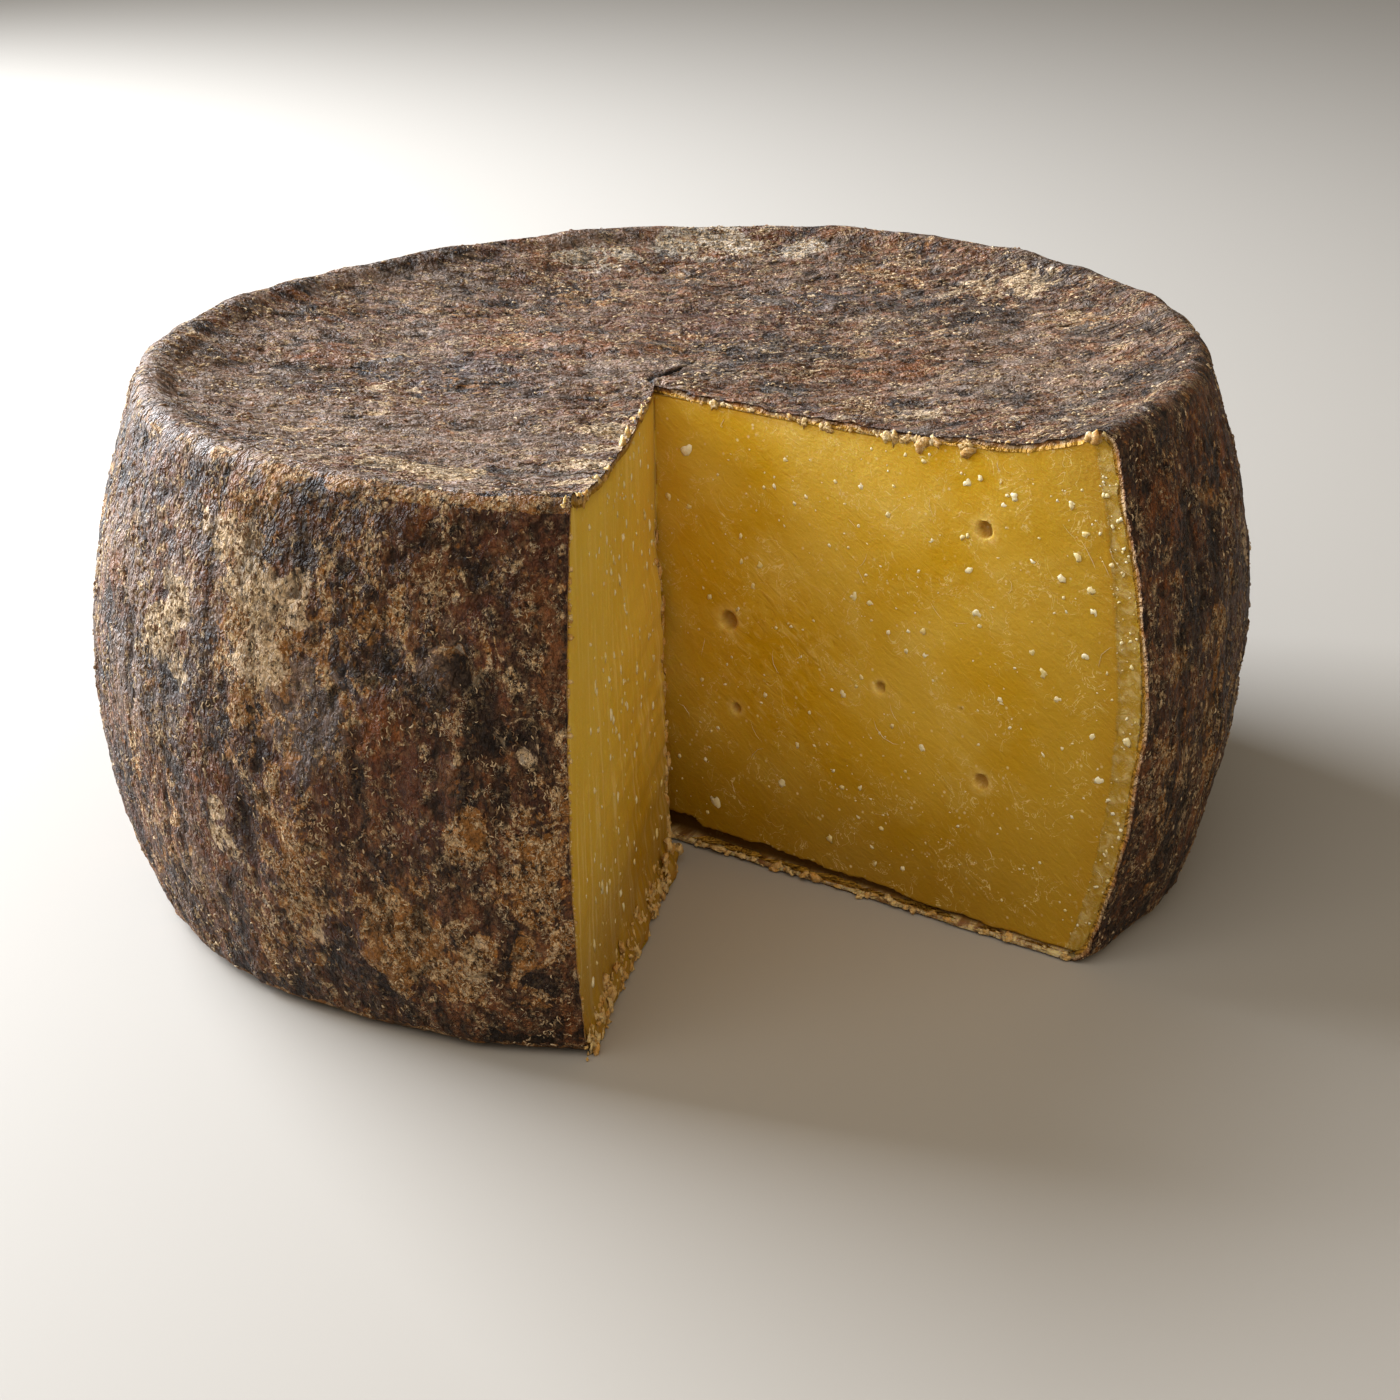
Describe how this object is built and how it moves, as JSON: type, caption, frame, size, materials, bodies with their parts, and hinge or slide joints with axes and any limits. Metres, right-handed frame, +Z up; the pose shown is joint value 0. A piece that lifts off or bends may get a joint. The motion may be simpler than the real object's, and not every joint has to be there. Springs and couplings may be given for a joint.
{
  "type": "mountain cheese",
  "caption": "Bulging, slightly oval wheel of aged mountain cheese with a dished top and a craggy brown rind, one wedge cut out to show the yellow paste.",
  "frame": {"origin": "on the board the cheese stands on, under the middle of its bounding box", "axes": "+Z up along the wheel's axis; the missing wedge opens towards -Y and +X, with one cut face almost along the YZ plane"},
  "size_m": [0.3644, 0.3571, 0.1644],
  "materials": {
    "rind": "rough, dry, fibrous brown and grey natural rind",
    "paste": "firm, slightly waxy yellow paste with white crystals"
  },
  "bodies": {
    "root": {"cheese_wheel": "rind"}
  },
  "joints": []
}
